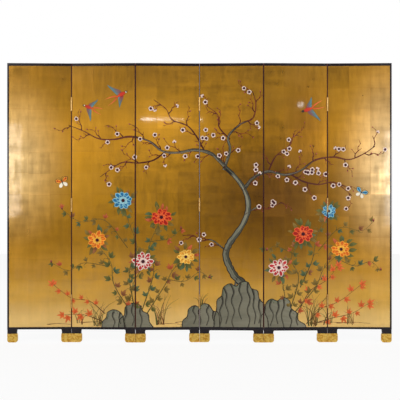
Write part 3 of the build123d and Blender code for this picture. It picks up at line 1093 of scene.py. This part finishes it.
def paint_tree():
    """The thin limbs and the three main ones, the roots and the trunk."""
    # Each limb's points, then its widths, grey share, and the spacing, reach and blossoms of its twigs
    for points, *habit in (
        ([(-220, 1250), (-300, 1195), (-400, 1175), (-500, 1180), (-580, 1135), (-650, 1085)],
         0.010, 0.003, 0.0, 0.070, 0.10, 0.28),
        ([(600, 1100), (680, 1055), (780, 1035), (880, 1050), (950, 1005), (1000, 960)],
         0.010, 0.003, 0.0, 0.070, 0.09, 0.27),
        ([(30, 1260), (-20, 1350), (-80, 1420), (-180, 1460), (-220, 1530), (-300, 1590)],
         0.010, 0.003, 0.0, 0.070, 0.11, 0.28),
        ([(200, 1330), (130, 1410), (120, 1490), (50, 1550)], 0.009, 0.003, 0.0, 0.070, 0.10, 0.28),
        ([(450, 1120), (500, 1220), (590, 1290), (620, 1370)], 0.009, 0.003, 0.0, 0.070, 0.10, 0.27),
        ([(175, 600), (80, 670), (10, 665), (-40, 700), (-110, 700)], 0.011, 0.003, 0.35, 0.09, 0.09, 0.26),
        ([(300, 840), (380, 885), (450, 875), (530, 915)], 0.011, 0.003, 0.45, 0.09, 0.08, 0.26),
        ([(160, 1130), (200, 1260), (190, 1350), (270, 1430), (350, 1470), (370, 1560), (350, 1640)],
         0.021, 0.0035, 0.62, 0.064, 0.12, 0.27),
        ([(290, 1000), (350, 1075), (450, 1120), (560, 1098), (660, 1125), (760, 1195), (880, 1215),
         (980, 1198), (1070, 1232), (1150, 1285)], 0.023, 0.0035, 0.55, 0.064, 0.115, 0.27),
        ([(170, 1150), (80, 1235), (-30, 1262), (-130, 1245), (-240, 1252), (-330, 1318), (-450, 1348),
         (-560, 1330), (-660, 1335), (-760, 1385), (-860, 1425)], 0.026, 0.0035, 0.60, 0.064, 0.125, 0.28),
    ):
        limb(points, *habit)
    for root in (
        [(250, 420), (235, 375), (240, 330)],
        [(300, 385), (335, 280), (345, 320)],
    ):
        barked(flowing(metres(root), 4), 0.020, 0.010)
    trunk = [
        (315, 330), (285, 385), (235, 430), (195, 500), (172, 575), (195, 645), (245, 715), (290, 785),
        (318, 865), (315, 945), (280, 1025), (225, 1095), (160, 1155),
    ]
    barked(flowing(metres(trunk), 5), 0.054, 0.027)


def paint_flowers():
    """Peonies on leafy stems, with thinner stems that end in buds between them."""
    leaves = ("green", "olive", "brown", "rust", "green", "teal", "olive")
    # Each peony's middle, radius and colour, and the stem below it
    beds = (
        ((-500, 930), 0.068, "blue", [(-420, 200), (-460, 450), (-410, 620), (-460, 780), (-500, 910)]),
        ((-250, 820), 0.068, "red", [(-380, 200), (-300, 460), (-330, 620), (-260, 800)]),
        ((-670, 670), 0.066, "orange", [(-450, 200), (-560, 380), (-580, 520), (-670, 640)]),
        ((-370, 530), 0.070, "rose", [(-420, 180), (-440, 360), (-370, 500)]),
        ((-90, 560), 0.060, "yellow", [(-350, 180), (-230, 370), (-170, 480), (-90, 540)]),
        ((680, 710), 0.070, "red", [(590, 200), (650, 420), (600, 550), (680, 680)]),
        ((520, 490), 0.066, "rose", [(570, 200), (550, 360), (520, 470)]),
        ((930, 610), 0.064, "orange", [(610, 180), (760, 360), (820, 490), (930, 590)]),
        ((850, 860), 0.052, "blue", [(660, 360), (740, 540), (770, 700), (850, 840)]),
    )
    for middle, radius, colour, stem in beds:
        leafy_stem(stem, leaves, 0.042)
    for middle, radius, colour, stem in beds:
        [middle] = metres([middle])
        for around in range(13):
            facing = 2 * pi * (around + chance.random()) / 13
            root = middle + pointing(facing, radius * between(0.55, 0.95))
            leaf(root, facing + between(-0.4, 0.4), between(0.038, 0.058), any_of(leaves))
        peony(middle, radius, colour, between(-0.5, 0.5))
    for side_stem in (
        [(-470, 620), (-620, 800), (-780, 790), (-900, 870)],
        [(-600, 500), (-760, 520), (-860, 470), (-970, 520)],
        [(780, 600), (920, 750), (1060, 730), (1140, 790)],
        [(880, 560), (1020, 500), (1120, 530), (1190, 470)],
        [(-240, 420), (-100, 400), (0, 460), (60, 420)],
        [(-330, 660), (-200, 680), (-120, 740)],
        [(620, 580), (500, 630), (440, 600)],
    ):
        leafy_stem(side_stem, leaves, 0.036, 0.0042, 0.002, 0.038)
        bud(metres(side_stem)[-1], 0.022, between(0.8, 2.2))


def paint_ground():
    """The stones, low lines of earth, tufts of grass and sprigs of maple."""
    for outline, *folds in (
        (
            [(-115, 95), (-110, 140), (-80, 170), (-72, 215), (-35, 240), (0, 230), (25, 252), (62, 245),
             (90, 205), (125, 190), (135, 95)],
            [(-35, 240), (-45, 205), (-25, 165), (-40, 120)],
            [(0, 230), (-8, 190), (8, 145), (-4, 95)],
            [(62, 245), (45, 205), (60, 160), (45, 110)],
            [(90, 205), (85, 165), (98, 125), (90, 95)],
        ),
        (
            [(400, 95), (405, 170), (428, 205), (435, 255), (470, 285), (510, 272), (545, 296), (590, 272),
             (602, 222), (640, 190), (648, 145), (690, 118), (700, 95)],
            [(470, 285), (458, 235), (482, 180), (462, 110)],
            [(510, 272), (515, 225), (500, 175), (512, 120)],
            [(545, 296), (552, 240), (535, 180), (552, 95)],
            [(602, 222), (588, 180), (602, 140), (590, 95)],
            [(640, 190), (632, 150), (642, 110)],
        ),
        (
            [(95, 95), (98, 160), (112, 215), (116, 275), (145, 305), (158, 358), (200, 385), (240, 368),
             (268, 392), (315, 396), (342, 352), (380, 338), (392, 285), (422, 250), (428, 195), (446, 150),
             (450, 95)],
            [(145, 305), (150, 260), (132, 205), (142, 150), (128, 95)],
            [(158, 358), (176, 310), (170, 250), (188, 190), (172, 120)],
            [(200, 385), (222, 330), (208, 270), (228, 205), (212, 140), (222, 95)],
            [(268, 392), (258, 340), (276, 285), (256, 215), (274, 150)],
            [(315, 396), (312, 340), (330, 280), (312, 210), (328, 150), (316, 95)],
            [(342, 352), (356, 300), (350, 240), (366, 180), (358, 120)],
            [(392, 285), (386, 235), (398, 180), (388, 125)],
        ),
        (
            [(-640, 95), (-636, 135), (-612, 160), (-600, 198), (-560, 214), (-520, 198), (-500, 165),
             (-490, 95)],
            [(-560, 214), (-572, 175), (-556, 135), (-568, 95)],
            [(-520, 198), (-528, 160), (-516, 120)],
        ),
        (
            [(-530, 95), (-522, 150), (-492, 180), (-484, 232), (-435, 258), (-388, 242), (-372, 205),
             (-336, 184), (-328, 135), (-300, 95)],
            [(-484, 232), (-478, 190), (-492, 145), (-482, 95)],
            [(-435, 258), (-446, 205), (-428, 155), (-442, 110)],
            [(-388, 242), (-392, 195), (-378, 150), (-390, 95)],
        ),
    ):
        crag(outline, folds)
    for start, width in ((-0.78, 0.24), (-0.28, 0.18), (0.70, 0.30), (-0.16, 0.10), (0.90, 0.22), (-1.00, 0.16)):
        low = between(0.112, 0.132)
        hill = [at(start, low), at(start + width / 2, low + 0.006), at(start + width, low - 0.002)]
        ribbon(flowing(hill, 5), 0.0045, 0.0016, "brown", WASH, 0.4)
    for x, z, count, tall in (
        (-0.67, 0.11, 12, 0.20), (-0.26, 0.12, 16, 0.25), (0.74, 0.11, 18, 0.24), (0.84, 0.12, 9, 0.14),
        (0.02, 0.24, 6, 0.10), (-0.78, 0.12, 6, 0.11), (0.99, 0.12, 7, 0.13),
    ):
        grass_tuft(at(x, z), count, tall)
    for points in (
        [(700, 120), (800, 220), (920, 270), (1050, 370)],
        [(740, 120), (880, 160), (1000, 190), (1100, 250)],
        [(630, 160), (720, 330), (840, 410), (900, 490)],
        [(-620, 190), (-720, 270), (-840, 290), (-950, 370)],
        [(-640, 140), (-760, 180), (-880, 180)],
    ):
        maple_sprig(points)


def paint_birds():
    swallow(at(-0.52, 1.62), 0.5, 0.175, 0.72)
    swallow(at(-0.72, 1.54), 2.8, 0.150, 0.8)
    swallow(at(0.72, 1.53), 3.5, 0.175, 0.7)
    butterfly(at(-0.90, 1.05), 1.9, 0.085, "orange")
    butterfly(at(1.06, 0.98), 1.1, 0.080, "blue")


def painted_film(panel):
    """The part of the painting that lies on one panel's board, as a film of paint sunk into the gold."""
    film = picture.copy()
    low = BOARD_BOTTOM + BOARD_FIT
    half = (low + BOARD_TOP) / 2
    left = -HALF_WIDTH + border(panel, LEFT) + BOARD_FIT
    right = HALF_WIDTH - border(panel, RIGHT) - BOARD_FIT
    bmesh.ops.translate(film, verts=film.verts, vec=(-middle_x(panel), -HALF_THICKNESS, 0))
    for limit, outward, outside in (
        ((left, 0, 0), (-1, 0, 0), True),
        ((right, 0, 0), (1, 0, 0), True),
        ((0, 0, low), (0, 0, -1), True),
        ((0, 0, BOARD_TOP - BOARD_FIT), (0, 0, 1), True),
        ((0, 0, half), (0, 0, 1), False),
    ):
        everything = [*film.verts, *film.edges, *film.faces]
        bmesh.ops.bisect_plane(film, geom=everything, plane_co=limit, plane_no=outward, clear_outer=outside)
    sheet = film.loops.layers.uv.new("OFBake")
    used = sorted({face.material_index for face in film.faces})
    for face in film.faces:
        face.material_index = used.index(face.material_index)
        upper = face.calc_center_median().z > half
        for loop in face.loops:
            across = (loop.vert.co.x - left) / (right - left) * (0.5 - 2 * SHEET_MARGIN)
            up = (loop.vert.co.z - (half if upper else low)) / (half - low) * (1 - 2 * SHEET_MARGIN)
            loop[sheet].uv = (0.5 * upper + SHEET_MARGIN + across, SHEET_MARGIN + up)
    bmesh.ops.transform(film, matrix=standing(panel), verts=film.verts)
    mesh = bpy.data.meshes.new(f"panel_{panel}_painting")
    film.to_mesh(mesh)
    film.free()
    for slot in used:
        mesh.materials.append(list(PAINTS.values())[slot])
    piece = put(f"panel_{panel}_painting", mesh)
    body = piece.modifiers.new("Paint film", "SOLIDIFY")
    body.thickness, body.offset = FILM, -1
    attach(piece, f"panel_{panel}")


paint_ground()
paint_tree()
paint_flowers()
paint_birds()
for panel in PANELS:
    painted_film(panel)


# ---------------------------------------------------------------- studio

WHITE = (1, 1, 1, 1)
# Strength of the sky for matt surfaces, and for mirroring ones from the camera's side and the other sides
SKY_MATT, SKY_MIRRORED, SKY_OPPOSITE = 0.42, 0.16, 1.0
FLOOR_REACH = 9.0
FLOOR_GLOW = 0.90
SENSOR = 36.0
EYE = (0.0035, -5.5, 0.933)
VIEW_WIDTH = 2.627


def soft_lamp(name, where, aim, width, height, watts):
    """An area lamp that the camera doesn't see, turned towards its aim."""
    lamp = bpy.data.lights.new(name, "AREA")
    lamp.shape = "RECTANGLE"
    lamp.size, lamp.size_y, lamp.energy = width, height, watts
    hung = put(name, lamp)
    hung.location = where
    hung.rotation_euler = (Vector(aim) - Vector(where)).to_track_quat("-Z", "Y").to_euler()
    hung.visible_camera = False


def studio():
    """White paper under and behind the screen, its lamps, and the camera."""
    scene = bpy.context.scene
    scene.view_settings.view_transform = "Standard"

    world = bpy.data.worlds.new("Studio")
    scene.world = world
    world.use_nodes = True
    tree = world.node_tree
    tree.nodes.clear()
    path = place(tree, "LightPath")
    seen, through, glossy = (Wire(path, f"Is {ray} Ray") for ray in ("Camera", "Transmission", "Glossy"))
    _, forward, _ = parted(wired(tree, "TexCoord", output="Generated"))
    mirrored = ranged(forward, -1.0, -0.74, SKY_MIRRORED, SKY_OPPOSITE)
    lit = (1.0 - glossy) * SKY_MATT + glossy * mirrored
    strength = seen.at_least(through).at_least(lit)
    sky = wired(tree, "Background", {"Color": WHITE, "Strength": strength})
    place(tree, "OutputWorld", {0: sky})

    mesh = bpy.data.meshes.new("Floor")
    corners = [(x * FLOOR_REACH, y * FLOOR_REACH, 0) for x, y in ((-1, -1), (1, -1), (1, 1), (-1, 1))]
    mesh.from_pydata(corners, [], [(0, 1, 2, 3)])
    floor = put("Floor", mesh)
    paper = bpy.data.materials.new("Floor paper")
    paper.use_nodes = True
    tree = paper.node_tree
    tree.nodes.clear()
    share = wired(tree, "LightPath", output="Is Camera Ray") * FLOOR_GLOW
    matt = wired(tree, "BsdfDiffuse", {"Color": (0.86, 0.86, 0.86, 1)})
    white = wired(tree, "Emission", {"Color": WHITE, "Strength": 1.0})
    both = wired(tree, "MixShader", {0: share, 1: matt, 2: white})
    place(tree, "OutputMaterial", {0: both})
    mesh.materials.append(paper)

    soft_lamp("Key", (-3.2, -5.0, 3.4), (0, 0, 0.9), 2.4, 2.4, 105)
    soft_lamp("Fill", (3.4, -5.0, 2.8), (0, 0, 0.9), 2.4, 2.4, 80)
    soft_lamp("Back", (0.0, 4.0, 3.6), (0, 0, 0.9), 3.0, 2.0, 80)
    soft_lamp("Left strip", (-1.57, -2.0, 1.19), (-1.1, 0, 1.1), 0.24, 0.84, 4.1)
    soft_lamp("Right strip", (1.63, -2.0, 1.13), (1.1, 0, 1.12), 0.24, 0.84, 6.4)
    soft_lamp("Upper strip", (-0.218, -1.0, 1.556), (-0.22, 0, 1.46), 0.33, 0.014, 0.56)
    soft_lamp("Upper spot", (0.852, -1.0, 1.673), (0.66, 0, 1.56), 0.042, 0.030, 0.085)

    camera = bpy.data.cameras.new("Camera")
    camera.sensor_width = SENSOR
    camera.lens = SENSOR * -EYE[1] / VIEW_WIDTH
    eye = put("Camera", camera)
    eye.location = EYE
    eye.rotation_euler = (pi / 2, 0, 0)
    scene.camera = eye


studio()
